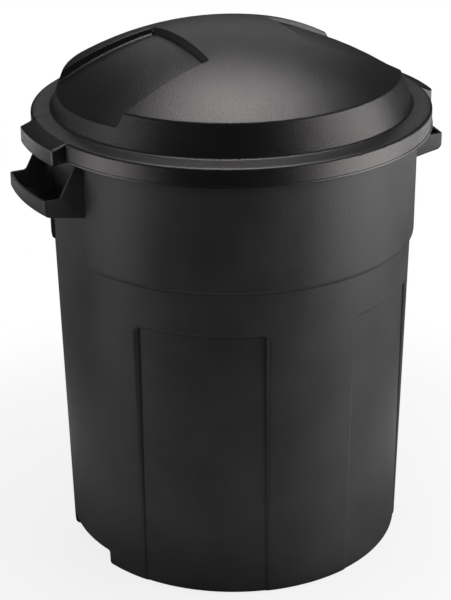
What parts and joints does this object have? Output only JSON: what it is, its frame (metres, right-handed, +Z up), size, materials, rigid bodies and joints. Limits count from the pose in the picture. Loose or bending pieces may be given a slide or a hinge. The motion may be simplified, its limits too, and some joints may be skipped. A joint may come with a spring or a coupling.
{
  "type": "trash can",
  "caption": "Round tapered outdoor trash can with a wider upper band, sunk wall panels, scoop side handles, toe notches and a lift-off domed lid with finger pockets and pull tabs.",
  "frame": {"origin": "on the ground under the middle of the can", "axes": "+Z up along the can's axis, +X through the right handle, -Y to the front"},
  "size_m": [0.54, 0.4822, 0.654],
  "materials": {
    "can_plastic": "black, satin, fine moulded grain",
    "lid_plastic": "black, satin, slightly glossier pebbled grain"
  },
  "bodies": {
    "can": {"can_body": "can_plastic", "left_handle": "can_plastic", "right_handle": "can_plastic"},
    "lid": {"lid": "lid_plastic"}
  },
  "joints": [
    {"name": "lid_lift", "type": "slide", "parent": "can", "child": "lid", "axis": [0, 0, 1], "range_m": [0, 0.25]}
  ]
}
